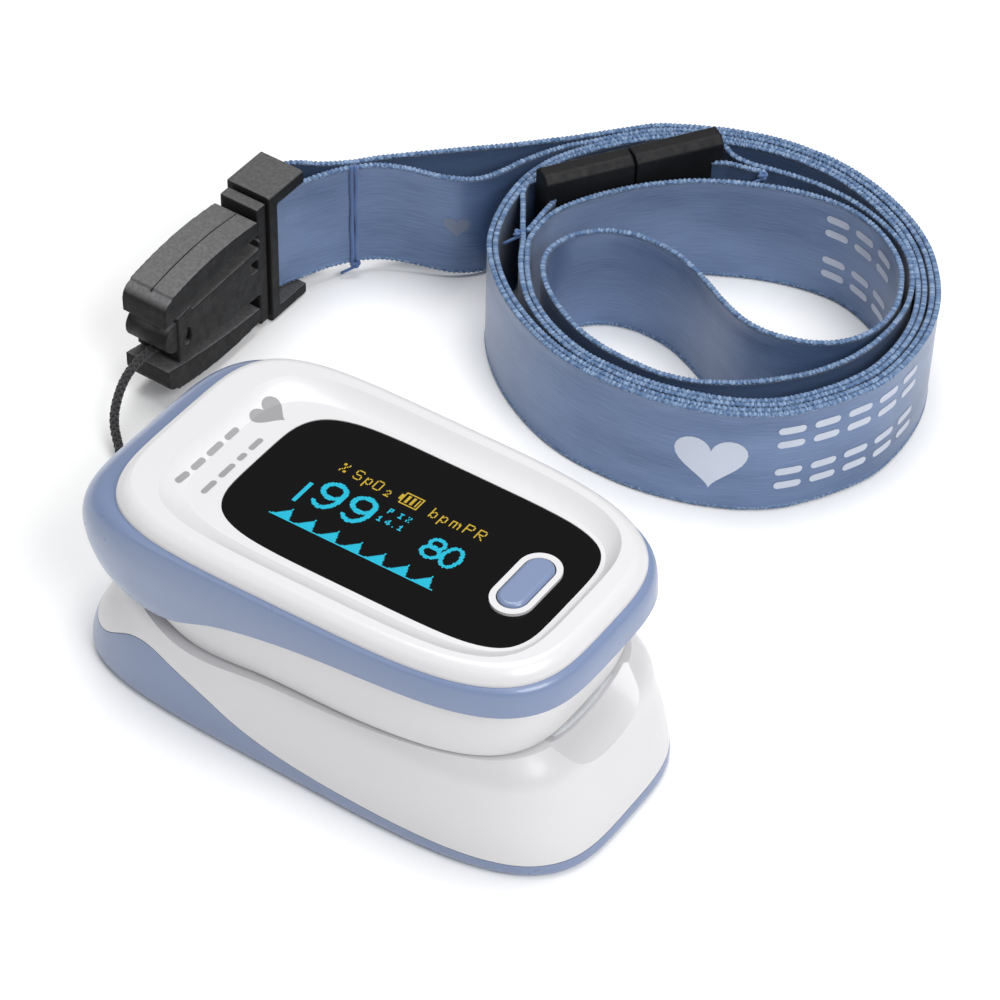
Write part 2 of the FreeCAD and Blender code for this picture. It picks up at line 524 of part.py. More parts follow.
# ---- string ----
def string_tube():
    """Braided string: straight runs joined by tangent arcs, with a round section."""
    points = [Vector(*p) for p in STRING_ROUTE]
    edges, position, radii = [], points[0], []
    for before, corner, after in zip(points, points[1:], points[2:]):
        into, out = corner - before, after - corner
        half_turn = into.getAngle(out) / 2
        reach = 0.45 * min(into.Length, out.Length)
        radii.append(reach / math.tan(half_turn))
        into.normalize()
        out.normalize()
        start, end = corner - into * reach, corner + out * reach
        sag = radii[-1] * (1 / math.cos(half_turn) - 1)
        bisector = out - into
        middle = corner + bisector.normalize() * sag
        edges.append(Part.LineSegment(position, start).toShape())
        edges.append(Part.Arc(start, middle, end).toShape())
        position = end
    edges.append(Part.LineSegment(position, points[-1]).toShape())
    path = Part.Wire(edges)
    section = Part.Wire(Part.makeCircle(STRING_D / 2, points[0], points[1] - points[0]))
    tube = path.makePipeShell([section], True, False)
    expected = math.pi * (STRING_D / 2) ** 2 * path.Length
    print("string radii mm:", [round(r, 1) for r in radii])
    print("string length %.1f mm, volume / (section x length) %.3f" % (path.Length, tube.Volume / expected))
    keep("lanyard_string", tube)


# ---- buckle ----
def side_plate(corners, x=BUCKLE_X, upward=1):
    """Plate from side-view edges of the buckle: lists of (y, height above the middle line).

    Two points make a straight edge and three make an arc."""
    edges = []
    for edge in corners:
        points = [Vector(x[0], y, BUCKLE_MID[1] + upward * dz) for y, dz in edge]
        curve = Part.LineSegment(*points) if len(points) == 2 else Part.Arc(*points)
        edges.append(curve.toShape())
    return Part.Face(Part.Wire(edges)).extrude(Vector(x[1] - x[0], 0, 0))


def buckle_plug():
    """Cord end of the buckle: a leaf-shaped body between the levers, and its collar."""
    y0, y1 = PLUG_Y
    upper = [(y0, 3.1), (30, 4.3), (y1, 4.7)]
    lower = [(y, -dz) for y, dz in reversed(upper)]
    body = side_plate([upper, [upper[-1], lower[0]], lower, [lower[-1], upper[0]]])
    collar = box((BUCKLE_X[0] + 0.4, BUCKLE_X[1] - 0.4), COLLAR_Y, (0.7, 19.3))
    x, z = BUCKLE_MID
    body = body.fuse(collar)
    body = body.cut(cylinder(0.7, (x - 5, 25.6, z - 0.6), (x + 5, 25.6, z - 0.6)))
    body = body.cut(box((BUCKLE_X[1] - 1.2, BUCKLE_X[1] + 1), (38.6, 40.1), (z + 0.4, z + 2.2)))
    keep("buckle_plug", body)


def squeeze_levers():
    """Two sprung legs of the plug that are pinched to release it."""
    y0 = PLUG_Y[0]
    outer = [(y0, 7.0), (31, 8.4), (LEVER_END_Y, 8.0)]
    inner = [(LEVER_END_Y, 5.9), (30, 4.95), (y0, 3.4)]
    profile = [outer, [outer[-1], inner[0]], inner, [inner[-1], outer[0]]]
    for name, upward in (("squeeze_lever_upper", 1), ("squeeze_lever_lower", -1)):
        keep(name, side_plate(profile, upward=upward))


def strap_frame():
    """Ribbon end of the buckle: an open frame with the bar that the ribbon loops round."""
    x, z = BUCKLE_MID
    body = box(BUCKLE_X, FRAME_Y, (0, 20)).cut(box((-60, -45), (44.3, 60), (1.8, 18.2)))
    long_edges = [e for e in body.Edges if e.BoundBox.YLength > 5 and e.BoundBox.XMax > BUCKLE_X[1] - 0.1
                  and (e.BoundBox.ZMin > 19.9 or e.BoundBox.ZMax < 0.1)]
    body = body.makeFillet(0.4, long_edges)
    keep("strap_frame", body.fuse(cylinder(0.9, (x, BAR_Y, 1.7), (x, BAR_Y, 18.3))))


# ---- neck ribbon ----
def offset_points(points, distance):
    """Points moved sideways off a plan route."""
    result = []
    for i, (x, y) in enumerate(points):
        before = points[max(i - 1, 0)]
        after = points[min(i + 1, len(points) - 1)]
        dx, dy = after[0] - before[0], after[1] - before[1]
        length = math.hypot(dx, dy)
        result.append((x - distance * dy / length, y + distance * dx / length))
    return result


def ribbon(name, route, layers, z):
    """A length of ribbon standing on its edge along a plan route."""
    half = (RIBBON_T + (layers - 1) * LAYER_PITCH) / 2
    sides = []
    for distance in (-half, half):
        curve = Part.BSplineCurve()
        curve.interpolate([Vector(x, y, z[0]) for x, y in offset_points(route, distance)])
        sides.append(curve.toShape())
    a, b = sides
    ends = [Part.makeLine(a.Vertexes[i].Point, b.Vertexes[i].Point) for i in (0, 1)]
    wire = Part.Wire(Part.sortEdges([a, ends[0], ends[1], b])[0])
    keep(name, Part.Face(wire).extrude(Vector(0, 0, z[1] - z[0])))


def neck_ribbon():
    """One ribbon, looped double at the buckle and coiled; its two ends are sewn to the clasp."""
    ribbon("ribbon_back_strand", BACK_STRAND, 1, STRAP_Z)
    ribbon("ribbon_front_strand", FRONT_STRAND, 1, STRAP_Z)
    standing = (0, RIBBON_W)
    ribbon("ribbon_outer_turn", OUTER_TURN, 2, standing)
    ribbon("ribbon_inner_turn", INNER_TURN, 2, standing)
    ribbon("ribbon_end_loop", END_LOOP, 1, standing)
    ribbon("ribbon_clasp_tail", CLASP_TAIL, 1, standing)


def clasp():
    """Breakaway clasp in the ribbon: a socket half and a plug half, end to end."""
    start, end = Vector(*CLASP_START, 0), Vector(*CLASP_END, 0)
    along = end - start
    angle = math.degrees(math.atan2(along.y, along.x))
    half_length = along.Length / 2
    for name, x in (("clasp_socket", (0, half_length - CLASP_GAP / 2)),
                    ("clasp_plug", (half_length + CLASP_GAP / 2, along.Length))):
        body = box(x, (-CLASP_T / 2, CLASP_T / 2), (0, CLASP_H))
        body = body.makeChamfer(0.9, [e for e in body.Edges if e.BoundBox.ZMin > CLASP_H - 0.1
                                      and e.BoundBox.XLength > 5])
        body.Placement = Placement(start, Rotation(Vector(0, 0, 1), angle))
        keep(name, body)


def build():
    for make in (top_cover, display_window, button_and_bezel, band_trim, upper_shell, upper_electronics,
                 emitter, upper_pad, upper_screws, flex_cable):
        make()
    skin = lower_skin()
    lower_shell(skin)
    bottom_cover(skin)
    for make in (battery_door, lower_pad, detector, hinge, battery_contacts, lower_screws, flex_socket,
                 string_tube, buckle_plug, squeeze_levers, strap_frame, neck_ribbon, clasp):
        make()
    battery("battery_left", BATTERY_Y, True)
    battery("battery_right", -BATTERY_Y, False)


def main():
    build()
    os.makedirs("parts", exist_ok=True)
    for name, shape in PARTS.items():
        shape.exportStep(os.path.join("parts", name + ".step"))
        print("%-20s %d solids, %.1f mm3, valid %s" % (name, len(shape.Solids), shape.Volume, shape.isValid()))


main()
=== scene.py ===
import math

import bmesh
import bpy
from mathutils import Matrix, Vector, noise
from mathutils.bvhtree import BVHTree


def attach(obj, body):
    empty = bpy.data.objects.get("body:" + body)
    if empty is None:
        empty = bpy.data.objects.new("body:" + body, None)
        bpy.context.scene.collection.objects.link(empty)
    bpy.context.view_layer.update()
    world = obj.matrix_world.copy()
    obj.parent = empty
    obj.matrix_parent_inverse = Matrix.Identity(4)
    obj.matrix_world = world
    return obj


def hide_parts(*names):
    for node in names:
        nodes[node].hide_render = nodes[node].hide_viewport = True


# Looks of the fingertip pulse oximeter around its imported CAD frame. Metres; lists of points in mm.

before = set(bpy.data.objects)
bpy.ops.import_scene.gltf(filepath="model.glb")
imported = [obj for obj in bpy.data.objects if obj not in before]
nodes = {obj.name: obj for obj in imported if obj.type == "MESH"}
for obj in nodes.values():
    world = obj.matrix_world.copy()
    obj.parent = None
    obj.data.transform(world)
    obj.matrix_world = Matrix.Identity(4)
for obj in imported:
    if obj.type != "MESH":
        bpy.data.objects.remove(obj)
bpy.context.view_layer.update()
MM = 0.001

# Places are given from below the middle of the top cover, as in the CAD source, and moved by CENTRE
CENTRE = Vector((1.69, 0, 0)) * MM

# Upper half: its pieces are laid out level and then leaned back, as in the CAD source
UPPER_HEIGHT, UPPER_LEAN = 26.7, -2.1   # mm and degrees
UPPER = Matrix.Translation((0, 0, UPPER_HEIGHT * MM)) @ Matrix.Rotation(math.radians(UPPER_LEAN), 4, "Y")
WINDOW_TOP = 0.65

# Lanyard string, from the CAD source
STRING_D = 1.2
STRANDS, PLAIT_PITCH = 8, 3.2
CORE_SHARE, PLAIT_SHARE = 0.32, 0.36    # radius of the core and of the strands' paths, over STRING_D
STRAND_R, STRAND_SWAY = 0.15, 0.05
STRING_ROUTE = [(-33.8, 0.0, 8.9), (-37.0, 0.2, 8.6), (-40.4, 2.2, 6.2), (-43.6, 5.6, 3.0),
                (-46.6, 9.0, 1.4), (-49.8, 11.9, 1.5), (-52.5, 14.0, 3.3), (-53.3, 16.6, 6.2),
                (-53.3, 19.3, 8.0), (-53.3, 21.9, 8.0)]
STRING_END = (-53.3, 24.4, 7.6)         # inside the recess of the buckle's cord end

# Neck ribbon in plan, from the CAD source
RIBBON_W = 15.8
LAYER_PITCH = 0.75
STRAP_LIFT = 1.9                        # height of the two strands' lower edge at the buckle
LIFT_START, LIFT_RUN = -30.5, 17        # x where the strands start to rise, and the distance it takes
RIBBON_STEP = 0.22                      # distance between cross sections of the mesh
HALF_FACE, HALF_EDGE = 0.27, 0.34       # half thickness of the satin face and of the knitted edge
LOOP_PITCH = 0.62                       # distance between the loops of the knitted edge
PRINT_GAP = 0.035                       # prints stand this far off the satin
SEAM_R = 0.27                           # radius of the thread in the two seams
BAR = (-53.3, 47.6)
BACK_STRAND = [(-55.2, 49.9), (-54.7, 52.1), (-53.3, 53.3), (-51.1, 54.6), (-48.3, 57.1), (-45.4, 60.6),
               (-42.4, 64.2), (-39.2, 68.3), (-35.9, 72.4), (-32.5, 76.6), (-29.0, 80.6), (-25.8, 84.4),
               (-22.6, 88.0)]
FRONT_STRAND = [(-51.0, 49.9), (-50.0, 52.3), (-48.9, 54.4), (-47.6, 56.3), (-45.3, 58.7), (-42.9, 60.3),
                (-40.5, 61.5), (-38.0, 62.7), (-35.9, 64.2), (-34.2, 66.2), (-33.1, 68.9), (-32.2, 72.0),
                (-31.0, 75.0), (-29.6, 77.6), (-27.6, 80.3), (-25.1, 83.7), (-22.0, 87.3)]
OUTER_TURN = [(-17.3, 90.9), (-12.6, 93.1), (-7.9, 94.5), (-3.0, 95.0), (1.4, 94.8), (5.8, 93.8),
              (10.2, 92.1), (14.3, 89.8), (17.8, 87.0), (20.6, 83.7), (22.9, 80.1), (24.6, 76.0),
              (25.5, 71.7), (25.7, 67.3), (25.2, 62.8), (23.6, 58.8), (21.4, 54.9), (18.8, 51.5),
              (15.2, 48.7), (11.0, 46.6), (6.3, 45.1), (2.4, 44.4), (-1.3, 44.2), (-5.4, 44.3),
              (-10.0, 45.2), (-14.6, 47.0), (-19.3, 49.7), (-23.5, 53.2), (-26.5, 56.9), (-28.4, 61.2),
              (-29.5, 65.8)]
INNER_TURN = [(-29.8, 70.2), (-29.0, 74.4), (-27.0, 78.8), (-24.2, 83.0), (-21.1, 86.5),
              (-16.9, 89.3), (-12.0, 91.5), (-7.5, 92.8), (-3.0, 93.3), (1.3, 93.1), (5.5, 92.1),
              (9.6, 90.5), (13.4, 88.4), (16.6, 85.8), (19.2, 82.8), (21.4, 79.3), (23.0, 75.5),
              (23.9, 71.5), (24.1, 67.4), (23.6, 63.3), (22.1, 59.4), (20.0, 55.7), (17.6, 52.6),
              (14.2, 50.0), (10.3, 48.1), (5.8, 46.7), (2.0, 46.0), (-1.4, 45.8), (-5.2, 45.9),
              (-9.2, 46.8), (-13.2, 48.5), (-16.7, 50.8), (-19.4, 53.6), (-21.6, 56.6), (-23.3, 59.6)]
END_LOOP = [(-23.5, 63.0), (-23.5, 65.3), (-22.9, 67.6), (-21.6, 70.6), (-19.3, 74.3),
            (-16.6, 77.7), (-12.4, 81.6), (-7.9, 84.4), (-3.1, 86.6), (1.6, 87.9), (5.8, 88.2),
            (9.4, 87.4), (12.4, 86.0), (14.9, 84.2), (17.0, 82.0), (18.6, 79.3), (19.8, 76.3),
            (20.3, 73.2), (20.1, 70.5), (19.2, 67.9), (17.6, 65.7), (15.6, 64.1), (13.2, 63.0),
            (10.6, 62.4), (7.8, 62.3), (5.2, 62.9), (2.6, 64.0), (-0.3, 65.5), (-3.4, 67.0),
            (-6.5, 68.1), (-9.8, 68.5), (-13.0, 68.2), (-15.9, 67.0), (-18.0, 65.1), (-19.5, 62.5),
            (-19.9, 59.8), (-19.1, 57.1), (-17.0, 54.4), (-14.0, 52.1), (-10.8, 50.3), (-7.6, 49.1),
            (-4.0, 48.4), (0.0, 48.3), (3.8, 48.6), (7.6, 49.9), (11.4, 52.3), (14.9, 55.5),
            (17.9, 59.2), (20.0, 63.2), (21.1, 67.0), (21.5, 70.6), (21.4, 74.0), (20.8, 77.2),
            (19.5, 80.4), (17.7, 83.2), (15.4, 85.6), (12.6, 87.4), (9.3, 88.8), (5.8, 89.7),
            (1.7, 90.1), (-2.4, 89.8), (-6.2, 89.1)]
SOCKET_LOOP = [(-24.9, 61.2), (-27.2, 64.6), (-28.9, 67.2), (-29.2, 69.0), (-27.6, 70.4), (-25.3, 69.4),
               (-24.7, 67.6), (-24.5, 65.4), (-24.2, 62.6), (-24.1, 61.0)]
PLUG_LOOP = [(-8.6, 88.6), (-11.3, 88.7), (-13.6, 89.7), (-15.4, 88.6), (-14.6, 86.4), (-13.0, 85.9),
             (-11.0, 87.0), (-8.4, 87.6), (-6.2, 88.2)]


# ---- materials ----
def srgb(r, g, b):
    """Linear colour from 0 to 255 screen values."""
    def linear(c):
        c /= 255
        return c / 12.92 if c <= 0.04045 else ((c + 0.055) / 1.055) ** 2.4
    return (linear(r), linear(g), linear(b), 1)


RIBBON_BLUE, RIBBON_DARK, RIBBON_PALE = srgb(88, 111, 148), srgb(62, 84, 122), srgb(120, 144, 182)
EDGE_PALE, EDGE_DARK = srgb(152, 176, 206), srgb(82, 112, 152)
SELVEDGE = (7.15, 7.45)                 # where the satin gives way to the knitted edge
WHITE = srgb(211, 210, 212)
TRIM = srgb(117, 133, 166)


class Shader:
    """A Principled material and short ways to add nodes to it."""

    def __init__(self, name, **sockets):
        self.material = bpy.data.materials.new(name)
        self.material.use_nodes = True
        self.tree = self.material.node_tree
        self.surface = self.tree.nodes["Principled BSDF"]
        for socket, value in sockets.items():
            self.surface.inputs[socket.replace("_", " ")].default_value = value
        self.where = self.node("ShaderNodeTexCoord").outputs["Object"]

    def node(self, kind, inputs=None, **settings):
        made = self.tree.nodes.new(kind)
        for key, value in settings.items():
            setattr(made, key, value)
        for key, value in (inputs or {}).items():
            if isinstance(value, bpy.types.NodeSocket):
                self.tree.links.new(value, made.inputs[key])
            else:
                made.inputs[key].default_value = value
        return made

    def link(self, output, socket):
        self.tree.links.new(output, self.surface.inputs[socket])

    def uv(self):
        """Use the ribbon's own measure, along and across it, in place of places in space."""
        self.where = self.node("ShaderNodeUVMap", uv_map="Weave").outputs["UV"]

    def noise(self, scale, detail=2.0, stretch=(1, 1, 1)):
        at = self.node("ShaderNodeMapping", {"Vector": self.where, "Scale": stretch}).outputs["Vector"]
        made = self.node("ShaderNodeTexNoise", {"Vector": at, "Scale": scale, "Detail": detail})
        return made.outputs["Fac"]

    def spread(self, value, low, high, start=0.3, end=0.7):
        """A 0 to 1 value stretched over start to end and given a new range."""
        made = self.node("ShaderNodeMapRange", {"Value": value, "From Min": start, "From Max": end,
                                                "To Min": low, "To Max": high})
        return made.outputs["Result"]

    def mix(self, factor, a, b):
        made = self.node("ShaderNodeMix", data_type="RGBA")
        for index, value in ((0, factor), (6, a), (7, b)):
            if isinstance(value, bpy.types.NodeSocket):
                self.tree.links.new(value, made.inputs[index])
            else:
                made.inputs[index].default_value = value
        return made.outputs[2]

    def math(self, operation, a, b=0.0):
        return self.node("ShaderNodeMath", {0: a, 1: b}, operation=operation).outputs[0]

    def relief(self, height, depth, normal=None, strength=1.0):
        """Bump of a given depth in metres."""
        inputs = {"Height": height, "Distance": depth, "Strength": strength}
        if normal is not None:
            inputs["Normal"] = normal
        return self.node("ShaderNodeBump", inputs).outputs["Normal"]


def plastic(name, colour, roughness, grain=3000, depth=2e-6, tint=0.04, uneven=0.15, **sockets):
    """Moulded plastic: faint colour drift, fine surface grain and slightly uneven gloss."""
    s = Shader(name, **sockets)
    darker = [c * (1 - tint) for c in colour[:3]] + [1]
    s.link(s.mix(s.spread(s.noise(60), 0, 1), colour, darker), "Base Color")
    s.link(s.spread(s.noise(400, 4), roughness * (1 - uneven), roughness * (1 + uneven)), "Roughness")
    s.link(s.relief(s.noise(grain, 3), depth), "Normal")
    return s


def leather_grain(name, top, side, roughness):
    """Black plastic: pebbled and paler on its level faces as a painted highlight, plain and darker on its
    sides as painted shade.
    """
    s = Shader(name, Specular_IOR_Level=0.25)
    normal = s.node("ShaderNodeTexCoord").outputs["Normal"]
    level = s.node("ShaderNodeSeparateXYZ", {"Vector": normal}).outputs["Z"]
    level = s.spread(s.math("ABSOLUTE", level), 0, 1, 0.45, 0.85)
    cells = s.node("ShaderNodeTexVoronoi", {"Vector": s.where, "Scale": 2600.0, "Randomness": 1.0},
                   feature="SMOOTH_F1").outputs["Distance"]
    paler = [c * 1.5 for c in top[:3]] + [1]
    grained_lit_top = s.mix(s.spread(cells, 0, 1, 0.1, 0.8), top, paler)
    # Painted light: faces that look up take the top colour as a painted highlight, and the sides take the
    # side colour as painted shade.
    s.link(s.mix(level, side, grained_lit_top), "Base Color")
    uneven = s.spread(s.noise(900, 3), roughness * 0.85, roughness * 1.2)
    s.link(s.math("SUBTRACT", uneven, s.spread(level, -0.15, 0.0, 0, 1)), "Roughness")
    soft = s.node("ShaderNodeBevel", {"Radius": 0.25 * MM}, samples=6).outputs["Normal"]
    s.link(s.relief(cells, 3.0e-5, soft), "Normal")
    return s


def brushed_metal(name, colour, roughness):
    """Drawn or rolled metal with fine streaks."""
    s = Shader(name, Metallic=1.0)
    streaks = s.noise(4000, 2, (0.05, 1, 1))
    darker = [c * 0.8 for c in colour[:3]] + [1]
    s.link(s.mix(streaks, colour, darker), "Base Color")
    s.link(s.spread(streaks, roughness * 0.8, roughness * 1.3), "Roughness")
    s.link(s.relief(streaks, 3e-6), "Normal")
    return s


def satin_ribbon():
    """Woven satin: fine lengthwise ribs, soft sheen, and paler knitted selvedges."""
    s = Shader("satin_ribbon", Metallic=0.35, Specular_IOR_Level=0.8, Sheen_Weight=0.15,
               Sheen_Roughness=0.35)
    s.uv()
    across = s.node("ShaderNodeSeparateXYZ", {"Vector": s.where}).outputs["Y"]
    ribs = s.noise(5200, 2, (0.05, 1, 1))
    threads = s.noise(9000, 1, (1, 0.4, 1))
    drift = s.noise(130, 2, (0.4, 1, 1))
    body = s.mix(s.spread(ribs, 0, 1, 0.25, 0.75), RIBBON_DARK, RIBBON_BLUE)
    body = s.mix(s.spread(drift, 0, 0.45), body, RIBBON_PALE)
    edge = s.spread(s.math("ABSOLUTE", across), 0, 1, SELVEDGE[0] * MM, SELVEDGE[1] * MM)
    loops = s.node("ShaderNodeTexVoronoi", {"Vector": s.where, "Scale": 3000.0}).outputs["Distance"]
    knit = s.mix(s.spread(loops, 0, 1, 0.1, 0.7), EDGE_PALE, EDGE_DARK)
    s.link(s.mix(edge, body, knit), "Base Color")
    s.link(s.spread(edge, 0.33, 0.8, 0, 1), "Roughness")
    weave = s.relief(ribs, 2.2e-5)
    weave = s.relief(threads, 0.8e-5, weave)
    s.link(s.relief(s.math("MULTIPLY", loops, edge), 2.2e-4, weave), "Normal")
    return s


def build_materials():
    """Every finish by name."""
    made = {
        "white": plastic("white_plastic", WHITE, 0.34, depth=1e-6, tint=0.012, uneven=0.04, Coat_Weight=0.25,
                         Coat_Roughness=0.12),
        "trim": plastic("blue_trim_plastic", TRIM, 0.32, tint=0.03, Coat_Weight=0.4, Coat_Roughness=0.12),
        "window": plastic("window_glass", srgb(15, 14, 15), 0.1, grain=900, depth=4e-7,
                          Specular_IOR_Level=0.14),
        "panel": plastic("oled_panel", srgb(28, 27, 32), 0.2),
        "pad": plastic("soft_pad", srgb(196, 199, 203), 0.6, grain=1800, depth=1.5e-5, Sheen_Weight=0.15),
        "board": plastic("circuit_board", srgb(24, 110, 66), 0.35, grain=1500, depth=2e-5, tint=0.3),
        "chip": plastic("chip_black", srgb(36, 36, 38), 0.5, grain=4000, depth=8e-6),
        "steel": brushed_metal("steel", srgb(200, 200, 203), 0.3),
        "jacket": plastic("battery_jacket", srgb(40, 82, 150), 0.25, tint=0.2, Coat_Weight=0.5),
        "flex": plastic("flex_amber", srgb(176, 118, 40), 0.35, tint=0.25),
        "lens": plastic("clear_lens", srgb(214, 150, 146), 0.1, Transmission_Weight=0.5),
        # Black finishes: the first colour is a painted highlight on level faces, and the second is painted
        # shade on the sides.
        "buckle": leather_grain("buckle_black", srgb(74, 74, 75), srgb(22, 22, 23), 0.45),
        "lever": leather_grain("lever_black", srgb(86, 86, 87), srgb(24, 24, 25), 0.5),
        "clasp": leather_grain("clasp_black", srgb(20, 20, 22), srgb(14, 15, 18), 0.5),
        "ribbon": satin_ribbon(),
        "string": plastic("braided_string", srgb(38, 38, 40), 0.7, grain=5000, depth=5e-5, Sheen_Weight=0.3),
        "thread": plastic("sewing_thread", srgb(70, 100, 150), 0.6, grain=6000, depth=3e-5, Sheen_Weight=0.3),
        "silver": plastic("silver_print", srgb(146, 146, 149), 0.45, tint=0.08),
        "print": plastic("white_print", srgb(196, 203, 218), 0.6, grain=5200, depth=1.6e-5, tint=0.12),
        "faint": plastic("faint_print", srgb(116, 128, 150), 0.6, grain=5200, depth=1.6e-5, tint=0.12),
        "cyan": plastic("lit_cyan", srgb(10, 40, 48), 0.2, Emission_Color=srgb(36, 205, 238),
                        Emission_Strength=0.95),
        "yellow": plastic("lit_yellow", srgb(46, 38, 10), 0.2, Emission_Color=srgb(226, 190, 62),
                          Emission_Strength=0.9),
    }
    return {name: shader.material for name, shader in made.items()}


LOOKS = build_materials()
NODE_LOOKS = {
    "white": ["top_cover", "button_bezel", "upper_shell", "lower_shell"],
    "trim": ["band_trim", "power_button", "bottom_cover", "battery_door"],
    "window": ["display_window"],
    "panel": ["oled_module"],
    "pad": ["upper_finger_pad", "lower_finger_pad"],
    "board": ["main_board", "emitter_board", "detector_board"],
    "chip": ["board_chips", "photodiode", "flex_socket"],
    "steel": ["tactile_switch", "upper_screws", "lower_screws", "hinge_pin", "torsion_springs",
              "battery_contacts", "battery_springs"],
    "jacket": ["battery_left", "battery_right"],
    "flex": ["flex_cable"],
    "lens": ["emitter_leds", "emitter_lens", "detector_lens"],
    "buckle": ["buckle_plug", "strap_frame"],
    "lever": ["squeeze_lever_upper", "squeeze_lever_lower"],
    "clasp": ["clasp_socket", "clasp_plug"],
}


def dress_nodes():
    """Give each CAD node listed in NODE_LOOKS its finish."""
    for look, names in NODE_LOOKS.items():
        for name in names:
            slots = nodes[name].data.materials
            slots.clear()
            slots.append(LOOKS[look])


# ---- mesh helpers ----
def piece(name, vertices, faces, look, body, slot, smooth=True, uvs=None):
    """A mesh object that rides on a body and takes the finish named by look. The slot is not used."""
    mesh = bpy.data.meshes.new(name)
    mesh.from_pydata([Vector(v) * MM + CENTRE for v in vertices], [], faces)
    if uvs:
        layer = mesh.uv_layers.new(name="Weave")
        for loop in mesh.loops:
            layer.data[loop.index].uv = uvs[loop.vertex_index]
    mesh.polygons.foreach_set("use_smooth", [smooth] * len(mesh.polygons))
    mesh.materials.append(LOOKS[look])
    obj = bpy.data.objects.new(name, mesh)
    bpy.context.scene.collection.objects.link(obj)
    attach(obj, body)
    return obj


def through(points, step):
    """Evenly spaced points on a smooth curve through the given ones, which may be 2-D or 3-D."""
    points = [Vector(p) for p in points]
    ends = [2 * points[0] - points[1]] + points + [2 * points[-1] - points[-2]]
    fine = []
    for p0, p1, p2, p3 in zip(ends, ends[1:], ends[2:], ends[3:]):
        t0 = 0.0
        t1 = t0 + (p1 - p0).length ** 0.5
        t2 = t1 + (p2 - p1).length ** 0.5
        t3 = t2 + (p3 - p2).length ** 0.5
        m1 = (p1 - p0) / (t1 - t0) - (p2 - p0) / (t2 - t0) + (p2 - p1) / (t2 - t1)
        m2 = (p2 - p1) / (t2 - t1) - (p3 - p1) / (t3 - t1) + (p3 - p2) / (t3 - t2)
        m1, m2 = m1 * (t2 - t1), m2 * (t2 - t1)
        for i in range(24):
            t = i / 24
            fine.append(p1 * (2 * t ** 3 - 3 * t ** 2 + 1) + m1 * (t ** 3 - 2 * t ** 2 + t)
                        + p2 * (3 * t ** 2 - 2 * t ** 3) + m2 * (t ** 3 - t ** 2))
    fine.append(points[-1])
    travelled = [0.0]
    for a, b in zip(fine, fine[1:]):
        travelled.append(travelled[-1] + (b - a).length)
    count = max(2, round(travelled[-1] / step))
    result, k = [], 0
    for i in range(count + 1):
        goal = travelled[-1] * i / count
        while k < len(fine) - 2 and travelled[k + 1] < goal:
            k += 1
        share = (goal - travelled[k]) / max(travelled[k + 1] - travelled[k], 1e-9)
        result.append(fine[k].lerp(fine[k + 1], min(share, 1)))
    return result, travelled[-1]


def tube_rings(path, radius, sides):
    """Rings of points round a 3-D path, with no twist along it."""
    rings, side = [], None
    for i, p in enumerate(path):
        tangent = (path[min(i + 1, len(path) - 1)] - path[max(i - 1, 0)]).normalized()
        if side is None:
            side = tangent.orthogonal().normalized()
        side = (side - tangent * side.dot(tangent)).normalized()
        other = tangent.cross(side)
        rings.append([p + side * radius * math.cos(a) + other * radius * math.sin(a)
                      for a in (2 * math.pi * k / sides for k in range(sides))])
    return rings


def skin(rings):
    """Vertices and faces of a closed tube through rings of equal size."""
    n = len(rings[0])
    vertices = [v for ring in rings for v in ring]
    faces = [(i * n + k, i * n + (k + 1) % n, (i + 1) * n + (k + 1) % n, (i + 1) * n + k)
             for i in range(len(rings) - 1) for k in range(n)]
    last = (len(rings) - 1) * n
    faces.append(tuple(reversed(range(n))))
    faces.append(tuple(range(last, last + n)))
    return vertices, faces


def joined(parts):
    """One vertex and face list from several."""
    vertices, faces = [], []
    for more_vertices, more_faces in parts:
        start = len(vertices)
        vertices += more_vertices
        faces += [tuple(start + i for i in f) for f in more_faces]
    return vertices, faces


# ---- camera, light and floor ----
CAMERA_PLACE = (155.3, -215.0, 289.5)
AZIMUTH, ELEVATION, ROLL = 33.44, 44.25, 1.70
LENS = 124.4
LIGHT_AIM = (0, 0.04, 0.01)
SOFTBOXES = {                           # place in metres, width and power
    "key": ((0.45, -0.12, 0.5), 0.4, 2.9),
    "top": ((-0.1, 0.15, 0.8), 0.6, 4.6),
    "fill": ((-0.35, -0.5, 0.35), 0.5, 0.5),
}
SURROUNDINGS = 0.29


def camera():
    """The photograph's viewing angle, from above the front right corner."""
    data = bpy.data.cameras.new("camera")
    data.sensor_width, data.lens = 36, LENS
    data.clip_start, data.clip_end = 0.01, 10
    obj = bpy.data.objects.new("camera", data)
    obj.location = Vector(CAMERA_PLACE) * MM + CENTRE
    obj.rotation_euler = (Matrix.Rotation(math.radians(AZIMUTH), 3, "Z")
                          @ Matrix.Rotation(math.radians(90 - ELEVATION), 3, "X")
                          @ Matrix.Rotation(math.radians(ROLL), 3, "Z")).to_euler()
    bpy.context.scene.collection.objects.link(obj)
    bpy.context.scene.camera = obj


def softbox(name, position, size, power):
    """Round area light turned towards the middle of the object."""
    light = bpy.data.lights.new(name, "AREA")
    light.shape, light.size, light.energy = "DISK", size, power
    obj = bpy.data.objects.new(name, light)
    obj.location = position
    obj.rotation_euler = (Vector(LIGHT_AIM) - Vector(position)).to_track_quat("-Z", "Y").to_euler()
    bpy.context.scene.collection.objects.link(obj)


def studio():
    """Pale surroundings, a soft key from the right, a large light above and a weak fill."""
    scene = bpy.context.scene
    scene.view_settings.view_transform = "Standard"
    world = bpy.data.worlds.new("studio")
    world.use_nodes = True
    world.node_tree.nodes["Background"].inputs["Color"].default_value = (1, 1, 1, 1)
    world.node_tree.nodes["Background"].inputs["Strength"].default_value = SURROUNDINGS
    scene.world = world
    for name, (position, size, power) in SOFTBOXES.items():
        softbox(name, position, size, power)


